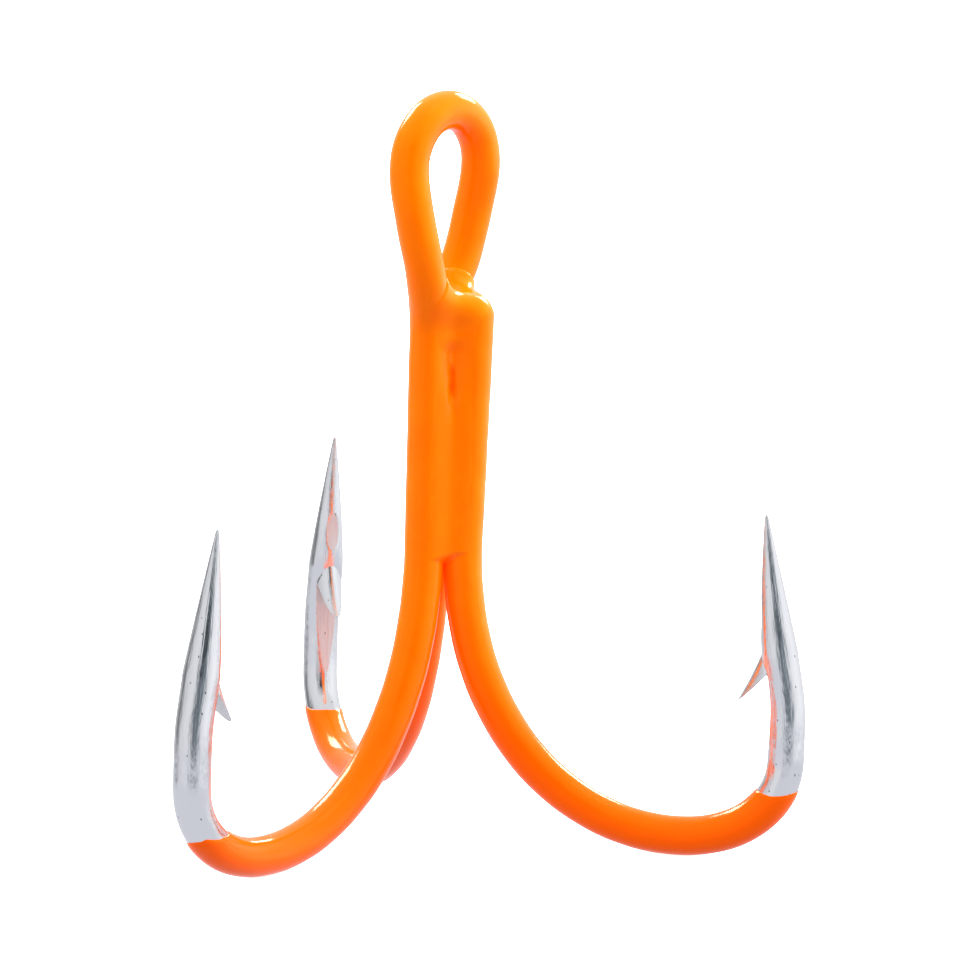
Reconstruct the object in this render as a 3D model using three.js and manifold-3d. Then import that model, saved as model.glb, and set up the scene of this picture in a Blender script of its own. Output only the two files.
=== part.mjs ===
// A treble fishing hook: one steel wire bent into two hooks with the line eye between them, a second wire
// bent into the third hook, the braze that joins the three shanks, and a film of paint over everything
// but the points. Millimetres. The origin is where a ring bears in the eye, +Z runs up the shank, and the
// eye's loop lies in the YZ plane. The front hook points along -Y.
import * as THREE from "three";
import { mergeVertices } from "three/addons/utils/BufferGeometryUtils.js";
import Module from "manifold-3d";

// Wire and paint.
const WIRE_RADIUS = 1.12;
const PAINT_OUTER_RADIUS = 1.2;
const CLEARANCE = 0.01;
const SIDES = 20;

// Eye: the round top of the loop, and how its two legs close onto the shank pair.
const EYE_AXIS_RADIUS = 3.416;
const EYE_CENTRE_Z = PAINT_OUTER_RADIUS - EYE_AXIS_RADIUS;
const LEG_HEIGHTS = [-5.4, -8.49];
const LEG_HALF_WIDTHS = [3.41, 2.8];
const LEG_BEARINGS = [99.7, 108.3];
const PAIR_TOP_Z = -11.58;

// Shank: its axis stands a little off the eye's, and its three wires splay slightly towards the top.
const SHANK_X = 0.31;
const SHANK_Y = 0.09;
const SHANK_OFFSET = 1.484;
const PAIR_TOP_OFFSET = 1.572;
const SINGLE_TOP_OFFSET = 1.81;
const FLARE_Z = -25.68;
const SINGLE_TOP_Z = -11.1;
const SINGLE_DOME = 0.9;

// Hooks: the same bend at three bearings round the shank, in degrees from +X.
const FRONT_BEARING = -90;
const REAR_BEARING = 149.93;
const SINGLE_BEARING = 26.19;
const BEND_REACH = 15.318;
const BEND_Z = -42.637;
const HEEL_REACH = 22.052;
const HEEL_Z = -37.565;
const POINT_REACH = 20.197;
const POINT_Z = -21.659;
const POINT_LEAN = THREE.MathUtils.degToRad(6.63);
const TAPER_LENGTH = 9.37;
const TAPER_POWER = 1.19;

// Each hook is finished a little differently. pointCut shortens its point, barbDrop lowers its barb and scar,
// and paintEndZ is the height on its leg where the paint stops.
const FRONT_HOOK = { bearing: FRONT_BEARING, pointCut: 0.8, barbDrop: 0.7, paintEndZ: -40.8 };
const REAR_HOOK = { bearing: REAR_BEARING, pointCut: 0, barbDrop: 0.3, paintEndZ: -40.0 };
const SINGLE_HOOK = { bearing: SINGLE_BEARING, pointCut: 0.7, barbDrop: 0.75, paintEndZ: -39.36 };

// Barb: a sliver cut up from the inner side of the point leg and bent out towards the shank.
const BARB_ROOT_Z = -30.2;
const BARB_TIP = [18.84, -33.35];
const BARB_SCAR_Z = [-31.25, -36.2];
const BARB_SCAR_DEPTH = 0.36;

// Braze: it fills the core between the shanks and shows as a nearly flat web in each groove.
const BRAZE_TOP_Z = -10.4;
const BRAZE_LIP_Z = -26.86;
const BRAZE_STAND_OFF = 0.95;

const wasm = await Module();
wasm.setup();

// A point at a reach from the shank's axis, on a bearing, at a height.
function place(reach, bearing, z) {
  const angle = THREE.MathUtils.degToRad(bearing);
  return new THREE.Vector3(SHANK_X + reach * Math.cos(angle), SHANK_Y + reach * Math.sin(angle), z);
}

// The hook's centre line in its own plane (x is reach, y is height), from the flare out to the tip.
function hookProfile() {
  const lean = new THREE.Vector2(-Math.sin(POINT_LEAN), Math.cos(POINT_LEAN));
  const tip = new THREE.Vector2(POINT_REACH, POINT_Z);
  const flare = new THREE.CubicBezierCurve(
    new THREE.Vector2(SHANK_OFFSET, FLARE_Z),
    new THREE.Vector2(SHANK_OFFSET, FLARE_Z - 10.56),
    new THREE.Vector2(BEND_REACH - 7.165, BEND_Z),
    new THREE.Vector2(BEND_REACH, BEND_Z),
  );
  const heel = new THREE.CubicBezierCurve(
    new THREE.Vector2(BEND_REACH, BEND_Z),
    new THREE.Vector2(BEND_REACH + 4.17, BEND_Z),
    new THREE.Vector2(HEEL_REACH, HEEL_Z - 2.606),
    new THREE.Vector2(HEEL_REACH, HEEL_Z),
  );
  const leg = new THREE.CubicBezierCurve(
    new THREE.Vector2(HEEL_REACH, HEEL_Z),
    new THREE.Vector2(HEEL_REACH, HEEL_Z + 6.699),
    tip.clone().addScaledVector(lean, -15.164),
    tip,
  );
  return { flare, heel, leg };
}
const profile = hookProfile();

// How far along a curve whose height rises it reaches a height, by halving.
function heightOn(curve, z) {
  let low = 0;
  let high = 1;
  for (let i = 0; i < 40; i += 1) {
    const middle = (low + high) / 2;
    if (curve.getPoint(middle).y < z) low = middle;
    else high = middle;
  }
  return low;
}

// The centre line of one hook from its tip to its flare. paintEnd is the index of the ring where paint starts.
function hookLine({ bearing, pointCut, paintEndZ }) {
  const flat = [];
  const cutAt = 1 - pointCut / profile.leg.getLength();
  const legSteps = [1, 0.98, 0.955, 0.92, 0.87, 0.81, 0.74, 0.66, 0.58, 0.49, 0.4, 0.31, 0.23, 0.15, 0.07];
  for (const t of legSteps) flat.push(profile.leg.getPoint(cutAt - (1 - t)));
  const t0 = heightOn(profile.heel, paintEndZ);
  for (const share of [1, 0.5, 0]) flat.push(profile.heel.getPoint(t0 + share * (1 - t0)));
  const paintEnd = flat.length - 1;
  for (let i = 1; i <= 10; i += 1) flat.push(profile.heel.getPoint(t0 * (1 - i / 10)));
  for (let i = 1; i <= 13; i += 1) flat.push(profile.flare.getPoint(1 - i / 13));
  const fullTip = place(POINT_REACH, bearing, POINT_Z);
  return { points: flat.map((p) => place(p.x, bearing, p.y)), paintEnd, fullTip };
}

// The radius of a wire at each ring: full, but for the taper down to each hook's point.
function taper(points, radius, tips) {
  return points.map((p) => {
    const near = Math.min(...tips.map((tip) => p.distanceTo(tip)));
    const q = Math.min(near / TAPER_LENGTH, 1);
    return radius * (1 - (1 - q) ** TAPER_POWER);
  });
}

// Direction and crosswise axes at each point, carried along the line with no twist.
function carriedFrames(points) {
  const frames = [];
  for (let i = 0; i < points.length; i += 1) {
    const before = points[Math.max(i - 1, 0)];
    const after = points[Math.min(i + 1, points.length - 1)];
    const along = after.clone().sub(before).normalize();
    let across = new THREE.Vector3(0.31, 0.87, 0.39);
    if (i > 0) {
      const turn = new THREE.Quaternion().setFromUnitVectors(frames[i - 1].along, along);
      across = frames[i - 1].across.clone().applyQuaternion(turn);
    }
    across.addScaledVector(along, -across.dot(along)).normalize();
    frames.push({ along, across, side: along.clone().cross(across) });
  }
  return frames;
}

// A closed skin round a line: one ring for each point from first to last, with a fan to a hub at each end.
function tube(points, frames, radii, first = 0, last = points.length - 1) {
  const positions = [];
  const index = [];
  const rings = last - first + 1;
  for (let i = first; i <= last; i += 1) {
    for (let k = 0; k < SIDES; k += 1) {
      const angle = (2 * Math.PI * k) / SIDES;
      const p = points[i].clone();
      p.addScaledVector(frames[i].across, Math.max(radii[i], 0.012) * Math.cos(angle));
      p.addScaledVector(frames[i].side, Math.max(radii[i], 0.012) * Math.sin(angle));
      positions.push(p.x, p.y, p.z);
    }
  }
  positions.push(points[first].x, points[first].y, points[first].z);
  positions.push(points[last].x, points[last].y, points[last].z);
  const startHub = rings * SIDES;
  const endHub = startHub + 1;
  for (let k = 0; k < SIDES; k += 1) {
    const next = (k + 1) % SIDES;
    for (let i = 0; i < rings - 1; i += 1) {
      const a = i * SIDES;
      const b = a + SIDES;
      index.push(a + k, a + next, b + k, a + next, b + next, b + k);
    }
    const end = (rings - 1) * SIDES;
    index.push(startHub, next, k, endHub, end + k, end + next);
  }
  const geometry = new THREE.BufferGeometry();
  geometry.setAttribute("position", new THREE.Float32BufferAttribute(positions, 3));
  geometry.setIndex(index);
  return geometry;
}

function solid(geometry) {
  const bare = geometry.index ? geometry.toNonIndexed() : geometry.clone();
  bare.deleteAttribute("normal");
  bare.deleteAttribute("uv");
  const merged = mergeVertices(bare, 1e-4);
  const made = new wasm.Manifold(
    new wasm.Mesh({
      numProp: 3,
      vertProperties: merged.attributes.position.array,
      triVerts: new Uint32Array(merged.index.array),
    }),
  );
  if (made.volume() < 0) throw new Error("a body is inside out");
  return made;
}

// Both wires' centre lines.
const frontHook = hookLine(FRONT_HOOK);
const rearHook = hookLine(REAR_HOOK);
const singleHook = hookLine(SINGLE_HOOK);

// The loop: up from the front shank, over the eye and down to the rear shank.
function eyeLine() {
  const frontTop = place(PAIR_TOP_OFFSET, FRONT_BEARING, PAIR_TOP_Z);
  const rearTop = place(PAIR_TOP_OFFSET, REAR_BEARING, PAIR_TOP_Z);
  const leg = (sign, i) => {
    const angle = THREE.MathUtils.degToRad(LEG_BEARINGS[i]);
    const half = sign * LEG_HALF_WIDTHS[i];
    return new THREE.Vector3(half * Math.cos(angle), half * Math.sin(angle), LEG_HEIGHTS[i]);
  };
  const line = [
    place(PAIR_TOP_OFFSET - 0.03, FRONT_BEARING, PAIR_TOP_Z - 4),
    place(PAIR_TOP_OFFSET - 0.01, FRONT_BEARING, PAIR_TOP_Z - 2),
    frontTop,
    leg(-1, 1),
    leg(-1, 0),
  ];
  for (let degrees = 180; degrees >= 0; degrees -= 30) {
    const angle = THREE.MathUtils.degToRad(degrees);
    line.push(
      new THREE.Vector3(0, EYE_AXIS_RADIUS * Math.cos(angle), EYE_CENTRE_Z + EYE_AXIS_RADIUS * Math.sin(angle)),
    );
  }
  line.push(leg(1, 0), leg(1, 1), rearTop);
  line.push(place(PAIR_TOP_OFFSET - 0.01, REAR_BEARING, PAIR_TOP_Z - 2));
  line.push(place(PAIR_TOP_OFFSET - 0.03, REAR_BEARING, PAIR_TOP_Z - 4));
  return new THREE.CatmullRomCurve3(line, false, "centripetal").getSpacedPoints(36);
}

const doublePoints = [...frontHook.points, ...eyeLine(), ...rearHook.points.toReversed()];
const doubleFrames = carriedFrames(doublePoints);
const doubleTips = [frontHook.fullTip, rearHook.fullTip];
const doubleFirst = frontHook.paintEnd;
const doubleLast = doublePoints.length - 1 - rearHook.paintEnd;

// The third wire stops short of the eye in a rounded end, so its rings close over a dome.
function singleTube(grow, first) {
  const points = [...singleHook.points];
  points.push(place(SINGLE_TOP_OFFSET, SINGLE_BEARING, SINGLE_TOP_Z));
  const radii = taper(points, WIRE_RADIUS + grow, [singleHook.fullTip]);
  const up = points.at(-1).clone().sub(points.at(-2)).normalize();
  for (const degrees of [25, 45, 62, 77, 90]) {
    const angle = THREE.MathUtils.degToRad(degrees);
    const rise = (SINGLE_DOME + grow) * Math.sin(angle);
    points.push(place(SINGLE_TOP_OFFSET, SINGLE_BEARING, SINGLE_TOP_Z).addScaledVector(up, rise));
    radii.push((WIRE_RADIUS + grow) * Math.cos(angle));
  }
  return solid(tube(points, carriedFrames(points), radii, first));
}

function doubleTube(grow, first, last) {
  const radii = taper(doublePoints, WIRE_RADIUS + grow, doubleTips);
  return solid(tube(doublePoints, doubleFrames, radii, first, last));
}

// A block whose outline lies in a hook's own plane, standing the given half thickness to each side.
function hookPlate(outline, bearing, half) {
  const shape = new THREE.Shape(outline.map(([x, y]) => new THREE.Vector2(x, y)));
  const plate = new THREE.ExtrudeGeometry(shape, { depth: 2 * half, bevelEnabled: false });
  plate.translate(0, 0, -half);
  plate.rotateX(Math.PI / 2);
  plate.rotateZ(THREE.MathUtils.degToRad(bearing));
  plate.translate(SHANK_X, SHANK_Y, 0);
  return solid(plate);
}

// The barb: a tongue of lens-shaped sections from its root inside the wire to its sharp tip.
function barb({ bearing, barbDrop }) {
  const legAt = (z) => profile.leg.getPoint(heightOn(profile.leg, z)).x;
  const rootZ = BARB_ROOT_Z - barbDrop;
  const upper = new THREE.Vector2(legAt(rootZ) - WIRE_RADIUS + 0.25, rootZ + 0.55);
  const tip = new THREE.Vector2(BARB_TIP[0], BARB_TIP[1] - barbDrop);
  const along = tip.clone().sub(upper);
  const normal = new THREE.Vector2(-along.y, along.x).normalize();
  const stations = [0, 0.2, 0.42, 0.64, 0.84, 1];
  const thickness = [0.32, 0.44, 0.5, 0.36, 0.2, 0.03];
  const halfWidths = [0.5, 0.86, 0.82, 0.6, 0.34, 0.03];
  const points = stations.map((t) => upper.clone().addScaledVector(along, t));
  const positions = [];
  const index = [];
  const around = 10;
  points.forEach((p, i) => {
    for (let k = 0; k < around; k += 1) {
      const angle = (2 * Math.PI * k) / around;
      const lift = thickness[i] * (0.5 + 0.5 * Math.sin(angle));
      const spot = place(p.x + normal.x * lift, bearing, p.y + normal.y * lift);
      const turned = THREE.MathUtils.degToRad(bearing + 90);
      spot.x += halfWidths[i] * Math.cos(angle) * Math.cos(turned);
      spot.y += halfWidths[i] * Math.cos(angle) * Math.sin(turned);
      positions.push(spot.x, spot.y, spot.z);
    }
  });
  for (let k = 0; k < around; k += 1) {
    const next = (k + 1) % around;
    for (let i = 0; i < stations.length - 1; i += 1) {
      const a = i * around;
      const b = a + around;
      index.push(a + k, a + next, b + k, a + next, b + next, b + k);
    }
    if (k > 0 && k < around - 1) {
      const end = (stations.length - 1) * around;
      index.push(0, k + 1, k, end, end + k, end + k + 1);
    }
  }
  const geometry = new THREE.BufferGeometry();
  geometry.setAttribute("position", new THREE.Float32BufferAttribute(positions, 3));
  geometry.setIndex(index);
  return solid(geometry);
}

// Cuts the scar that raised the barb into the leg's inner side, then adds the barb.
function withBarb(wire, hook) {
  const legAt = (z) => profile.leg.getPoint(heightOn(profile.leg, z)).x - WIRE_RADIUS;
  const [top, foot] = BARB_SCAR_Z.map((z) => z - hook.barbDrop);
  const scar = hookPlate(
    [
      [legAt(top) - 1, top - 0.3],
      [legAt(top) + BARB_SCAR_DEPTH, top],
      [legAt(foot) - 0.02, foot],
      [legAt(foot) - 1, foot],
    ],
    hook.bearing,
    1.6,
  );
  return wire.subtract(scar).add(barb(hook));
}

// The triangle whose corners are the three shank axes, its sides moved out, lofted from the lip to the top.
function brazeBlock(standOff, growEnds) {
  const bearings = [FRONT_BEARING, SINGLE_BEARING, REAR_BEARING];
  const section = (z, offsets) => {
    const corners = bearings.map((bearing, i) => place(offsets[i], bearing, z));
    return corners.flatMap((p, i) => {
      const next = corners[(i + 1) % 3];
      const side = next.clone().sub(p).normalize();
      const out = new THREE.Vector3(side.y, -side.x, 0).multiplyScalar(standOff);
      return [p.clone().add(out), next.clone().add(out)];
    });
  };
  const rows = [
    section(BRAZE_LIP_Z - growEnds, [SHANK_OFFSET, SHANK_OFFSET, SHANK_OFFSET]),
    section(BRAZE_TOP_Z + growEnds, [PAIR_TOP_OFFSET, SINGLE_TOP_OFFSET, PAIR_TOP_OFFSET]),
  ];
  const positions = rows.flat().flatMap((p) => [p.x, p.y, p.z]);
  const index = [];
  for (let k = 0; k < 6; k += 1) {
    const next = (k + 1) % 6;
    index.push(k, next, k + 6, next, next + 6, k + 6);
    if (k > 0 && k < 5) index.push(0, k + 1, k, 6, k + 6, k + 7);
  }
  const geometry = new THREE.BufferGeometry();
  geometry.setAttribute("position", new THREE.Float32BufferAttribute(positions, 3));
  geometry.setIndex(index);
  return solid(geometry);
}

const doubleWhole = doubleTube(0);
const singleWhole = singleTube(0, 0);
const doubleWire = withBarb(withBarb(doubleWhole, FRONT_HOOK), REAR_HOOK);
const singleWire = withBarb(singleWhole, SINGLE_HOOK);

const room = doubleTube(CLEARANCE, doubleFirst - 1, doubleLast + 1).add(singleTube(CLEARANCE, singleHook.paintEnd - 1));
const braze = brazeBlock(BRAZE_STAND_OFF, 0).subtract(room);

const film = PAINT_OUTER_RADIUS - WIRE_RADIUS;
const outside = doubleTube(film, doubleFirst, doubleLast)
  .add(singleTube(film, singleHook.paintEnd))
  .add(brazeBlock(BRAZE_STAND_OFF + film, film));
const paint = outside.subtract(room.add(brazeBlock(BRAZE_STAND_OFF + CLEARANCE, CLEARANCE)));

// A solid as a named mesh with its own material.
function part(name, body, color, roughness, metalness) {
  const { vertProperties, triVerts, numProp } = body.getMesh();
  const positions = new Float32Array((vertProperties.length / numProp) * 3);
  for (let i = 0; i < positions.length / 3; i += 1) {
    positions.set(vertProperties.subarray(i * numProp, i * numProp + 3), i * 3);
  }
  const geometry = new THREE.BufferGeometry();
  geometry.setAttribute("position", new THREE.BufferAttribute(positions, 3));
  geometry.setIndex([...triVerts]);
  geometry.computeVertexNormals();
  const mesh = new THREE.Mesh(geometry, new THREE.MeshStandardMaterial({ color, roughness, metalness }));
  mesh.name = name;
  return mesh;
}

const group = new THREE.Group();
group.name = "treble_hook";
group.add(part("double_hook_wire", doubleWire, 0xc9ccd2, 0.22, 1));
group.add(part("single_hook_wire", singleWire, 0xc9ccd2, 0.22, 1));
group.add(part("braze_seam", braze, 0xb8a27a, 0.45, 1));
group.add(part("orange_paint", paint, 0xff6a10, 0.16, 0));

export default group;
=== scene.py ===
# %% [markdown]
# # A treble fishing hook
# Two steel wires make this hook. One is bent into two of the hooks with the line eye between them, the
# other into the third hook. Their shanks are brazed together, and all but the points is painted a gloss
# fluorescent orange. The cells below build it as a bench would: centre lines first, then wire, barbs and
# paint carried along them, then the filled grooves, and last the light it is seen in.

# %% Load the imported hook
import math

import bpy
import numpy as np

from mathutils import Matrix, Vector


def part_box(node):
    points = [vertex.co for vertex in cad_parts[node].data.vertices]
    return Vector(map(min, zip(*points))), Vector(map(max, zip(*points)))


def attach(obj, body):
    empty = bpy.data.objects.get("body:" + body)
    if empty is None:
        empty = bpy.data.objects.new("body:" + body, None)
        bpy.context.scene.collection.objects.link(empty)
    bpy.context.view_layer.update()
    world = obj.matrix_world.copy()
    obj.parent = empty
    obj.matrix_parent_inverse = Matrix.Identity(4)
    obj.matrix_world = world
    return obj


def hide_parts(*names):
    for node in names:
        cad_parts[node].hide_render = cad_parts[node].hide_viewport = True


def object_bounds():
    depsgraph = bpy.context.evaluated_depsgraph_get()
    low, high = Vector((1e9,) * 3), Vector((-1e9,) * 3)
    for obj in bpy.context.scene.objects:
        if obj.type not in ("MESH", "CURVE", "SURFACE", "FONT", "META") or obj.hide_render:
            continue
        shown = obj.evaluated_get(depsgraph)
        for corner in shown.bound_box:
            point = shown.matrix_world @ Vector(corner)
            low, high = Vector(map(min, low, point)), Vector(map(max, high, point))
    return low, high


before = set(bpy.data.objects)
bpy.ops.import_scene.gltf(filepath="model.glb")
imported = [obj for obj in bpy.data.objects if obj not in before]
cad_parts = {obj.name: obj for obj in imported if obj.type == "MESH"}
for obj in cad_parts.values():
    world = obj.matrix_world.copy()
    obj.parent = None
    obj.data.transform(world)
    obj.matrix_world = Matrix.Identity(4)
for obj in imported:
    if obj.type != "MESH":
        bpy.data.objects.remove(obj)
cad_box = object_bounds()
MM = 0.001
low, high = (np.array(corner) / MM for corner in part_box("orange_paint"))
print("painted body, mm:", low.round(2), high.round(2))

# %% [markdown]
# ## The measures
# Lengths are in millimetres and heights are above the point where a ring bears in the eye, as in the part's
# own drawing. Everything on a hook is placed by its reach, the distance out from the shank's axis, by its
# bearing round that axis, and by its height. Only these few numbers drive the shapes.

# %% Wire, eye and hook measures
STEEL_RADIUS = 1.13
PAINT_RADIUS = 1.2
PAINT_INNER_RADIUS = 1.135

EYE_RADIUS = 3.416
EYE_CENTRE_Z = PAINT_RADIUS - EYE_RADIUS
EYE_LEGS = [(-5.4, 3.41, 99.7), (-8.49, 2.8, 108.3)]
PAIR_TOP_Z = -11.58

SHANK = np.array([0.31, 0.09, 0.0])
SHANK_OFFSET = 1.484
PAIR_TOP_OFFSET = 1.572
PAIR_LEAN = 0.0075
SINGLE_TOP_OFFSET = 1.81
SINGLE_TOP_Z = -11.3
FLARE_Z = -25.68

FRONT, REAR, SINGLE = -90.0, 149.93, 26.19
BEND = (15.318, -42.637)
HEEL = (22.052, -37.565)
POINT = (20.197, -21.659)
POINT_LEAN = math.radians(6.63)
# Lengths of the Bezier handles that leave each of those places: one towards the shank, one towards the point.
FLARE_HANDLES = (10.56, 7.165)
HEEL_HANDLES = (4.17, 2.606)
LEG_HANDLES = (6.699, 15.164)
TAPER_LENGTH = 9.37
TAPER_POWER = 1.19

LIP_Z = -26.86

# Each hook: how much shorter its point is, how much lower its barb is, and where its paint stops.
POINT_BLUNT = 0.7
POINT_CUT = {"front": 0.6, "rear": 0.0, "single": 0.55}
BARB_DROP = {"front": 0.7, "rear": 0.3, "single": 0.75}
PAINT_END_Z = {"front": -40.8, "rear": -40.0, "single": -39.4}
drawn_foot, packed_foot = BEND[1] - PAINT_RADIUS, float(low[2])
print("lowest paint by the drawing:", round(drawn_foot, 2), "by the pack:", round(packed_foot, 2))

# %% [markdown]
# ## Centre lines
# A bent wire is a circle carried along a line, so the line comes first. A hook's bend is three Bezier curves
# end to end: the flare away from the shank, the round of the heel, and the long leg that leans in to the
# point. They lie in one plane, so they are drawn as reach and height, and turned to a bearing afterwards.
# Each line is resampled by length, because evenly spaced rings take reflections without ripples.

# %% Curves and resampling
def bezier(a, b, c, d, count=200):
    """Cubic Bezier: the four points weighted by the terms of ((1 - t) + t) cubed."""
    t = np.linspace(0, 1, count)[:, None]
    a, b, c, d = (np.asarray(p, float) for p in (a, b, c, d))
    return (1 - t) ** 3 * a + 3 * (1 - t) ** 2 * t * b + 3 * (1 - t) * t**2 * c + t**3 * d


def lengths(line):
    """Distance along a line at each of its points: the running sum of its steps."""
    steps = np.linalg.norm(np.diff(line, axis=0), axis=1)
    return np.concatenate([[0], np.cumsum(steps)])


def along(line, where):
    """Points of a line at given distances along it, by straight interpolation between its points."""
    s = lengths(line)
    return np.stack([np.interp(where, s, line[:, k]) for k in range(line.shape[1])], -1)


def place(reach, bearing, z):
    """Reach and height on a bearing, as points in space about the shank's axis."""
    angle = np.radians(bearing)
    reach, z = np.broadcast_arrays(np.asarray(reach, float), np.asarray(z, float))
    return np.stack([reach * np.cos(angle), reach * np.sin(angle), z], -1) + SHANK


def hook_profile():
    """The hook's centre line from its tip to its flare, as (reach, height): three Beziers joined."""
    lean = np.array([-math.sin(POINT_LEAN), math.cos(POINT_LEAN)])
    start = (SHANK_OFFSET, FLARE_Z)
    flare_out, flare_in = (SHANK_OFFSET, FLARE_Z - FLARE_HANDLES[0]), (BEND[0] - FLARE_HANDLES[1], BEND[1])
    heel_out, heel_in = (BEND[0] + HEEL_HANDLES[0], BEND[1]), (HEEL[0], HEEL[1] - HEEL_HANDLES[1])
    leg_out, leg_in = (HEEL[0], HEEL[1] + LEG_HANDLES[0]), np.array(POINT) - LEG_HANDLES[1] * lean
    flare = bezier(start, flare_out, flare_in, BEND)
    heel = bezier(BEND, heel_out, heel_in, HEEL)
    leg = bezier(HEEL, leg_out, leg_in, POINT)
    return np.concatenate([leg[::-1], heel[-2::-1], flare[-2::-1]])


profile = hook_profile()
print("one hook's bend, mm of wire:", round(float(lengths(profile)[-1]), 1))

# %% [markdown]
# ## The eye
# The loop's top is a true half circle. Below it the two legs close on to the shank pair, turning a little as
# they come down, because the pair stands at a different bearing from the loop. A spline through a few
# stations follows that turn, and a short running average then evens out its curvature.

# %% The double wire's line and the single wire's line
def spline(points, count=40):
    """Centripetal Catmull-Rom: each span blends four points, with knots spaced by the root of distance."""
    p = np.asarray(points, float)
    p = np.concatenate([[2 * p[0] - p[1]], p, [2 * p[-1] - p[-2]]])
    spans = []
    for i in range(1, len(p) - 2):
        quad = p[i - 1 : i + 3]
        knots = np.concatenate([[0], np.cumsum(np.linalg.norm(np.diff(quad, axis=0), axis=1) ** 0.5)])
        t = np.linspace(knots[1], knots[2], count, endpoint=False)[:, None]

        def mix(a, b, k, m):
            return (knots[m] - t) / (knots[m] - knots[k]) * a + (t - knots[k]) / (knots[m] - knots[k]) * b

        a = [mix(quad[k], quad[k + 1], k, k + 1) for k in range(3)]
        b = [mix(a[k], a[k + 1], k, k + 2) for k in range(2)]
        spans.append(mix(b[0], b[1], 1, 2))
    return np.concatenate(spans + [p[-2:-1]])


def even_out(line, step=0.1, spread=0.45):
    """A bell-shaped running average along an evenly spaced line, whose two ends are held."""
    total = lengths(line)[-1]
    line = along(line, np.linspace(0, total, int(total / step) + 1))
    reach = int(4 * spread / step)
    offsets = np.arange(-reach, reach + 1) * step
    bell = np.exp(-0.5 * (offsets / spread) ** 2)
    ends = [line[:1] - (line[1:2] - line[:1]) * np.arange(reach, 0, -1)[:, None]]
    ends += [line, line[-1:] + (line[-1:] - line[-2:-1]) * np.arange(1, reach + 1)[:, None]]
    padded = np.concatenate(ends)
    return np.stack([np.convolve(padded[:, k], bell / bell.sum(), "valid") for k in range(3)], -1)


def eye_line():
    """Up the front shank, round the loop and down the rear shank, through its stations."""
    def leg(sign, z, half, bearing):
        angle = math.radians(bearing)
        return (sign * half * math.cos(angle), sign * half * math.sin(angle), z)

    up = [place(PAIR_TOP_OFFSET - drop * PAIR_LEAN, FRONT, PAIR_TOP_Z - drop) for drop in (4, 2, 0)]
    up += [leg(-1, *EYE_LEGS[1]), leg(-1, *EYE_LEGS[0])]
    turn = np.radians(np.arange(180, -1, -30))
    arc = np.stack([0 * turn, EYE_RADIUS * np.cos(turn), EYE_CENTRE_Z + EYE_RADIUS * np.sin(turn)], -1)
    down = [leg(1, *EYE_LEGS[0]), leg(1, *EYE_LEGS[1])]
    down += [place(PAIR_TOP_OFFSET - drop * PAIR_LEAN, REAR, PAIR_TOP_Z - drop) for drop in (0, 2, 4)]
    return spline(np.concatenate([up, arc, down]))


def hook_line(name, bearing):
    """The bend turned to its bearing, with the very end of its point cut off."""
    cut = profile[lengths(profile) > POINT_CUT[name]]
    return place(cut[:, 0], bearing, cut[:, 1])


front_hook = hook_line("front", FRONT)
rear_hook = hook_line("rear", REAR)
double_line = even_out(np.concatenate([front_hook, eye_line(), rear_hook[::-1]]))
single_hook = hook_line("single", SINGLE)
single_line = even_out(np.concatenate([single_hook, [place(SINGLE_TOP_OFFSET, SINGLE, SINGLE_TOP_Z)]]))
print("wire in the double hook, mm:", round(float(lengths(double_line)[-1]), 1))
print("wire in the single hook, mm:", round(float(lengths(single_line)[-1]), 1))

# %% [markdown]
# ## Carrying a section along a line
# Every wire surface is a grid of two parameters, the distance along the line and the angle round it. A
# helper gives the line's own axes at any distance: its direction, a crosswise axis square to the hook's
# plane, and a third that completes the set. Because the crosswise axis is known for each hook, the barbs
# and the ground faces can be placed by angle.

# %% Axes along a wire, and a grid made into a mesh
def crosswise(bearing):
    """The level direction square to a hook's plane."""
    angle = math.radians(bearing)
    return np.array([-math.sin(angle), math.cos(angle), 0.0])


class Wire:
    """A centre line with its axes, read at any array of distances."""

    def __init__(self, line, level):
        """level holds a level direction for each point; it is squared to the line's direction."""
        self.line = line
        self.s = lengths(line)
        direction = np.gradient(line, self.s, axis=0)
        direction /= np.linalg.norm(direction, axis=1)[:, None]
        level = level - (level * direction).sum(1)[:, None] * direction
        self.level = level / np.linalg.norm(level, axis=1)[:, None]
        self.direction = direction
        self.third = np.cross(direction, self.level)

    def read(self, values, where):
        return np.stack([np.interp(where, self.s, values[:, k]) for k in range(3)], -1)

    def surface(self, where, level_part, third_part):
        """Points at distances, moved by amounts along the level axis and the third axis."""
        spot = self.read(self.line, where)
        spot += level_part[..., None] * self.read(self.level, where)
        return spot + third_part[..., None] * self.read(self.third, where)


def level_for_double():
    """The front hook's crosswise axis, turned steadily on the rear shank to the rear hook's own."""
    s = lengths(double_line)
    down = s > s[np.argmax(double_line[:, 2])]
    share = np.clip((PAIR_TOP_Z - double_line[:, 2]) / (PAIR_TOP_Z - FLARE_Z), 0, 1) * down
    angle = np.radians((REAR + 90 - 180) * share)
    return np.stack([np.cos(angle), np.sin(angle), 0 * angle], -1)


double_wire_axes = Wire(double_line, level_for_double())
single_wire_axes = Wire(single_line, np.tile(crosswise(SINGLE), (len(single_line), 1)))
askew = np.abs((double_wire_axes.level * double_wire_axes.direction).sum(1)).max()
print(f"axes out of square by at most {askew:.1e}")


def write_attribute(mesh, name, kind, field, values):
    attribute = mesh.attributes.new(name, kind, "POINT")
    attribute.data.foreach_set(field, values.ravel().astype(np.float32))


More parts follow.
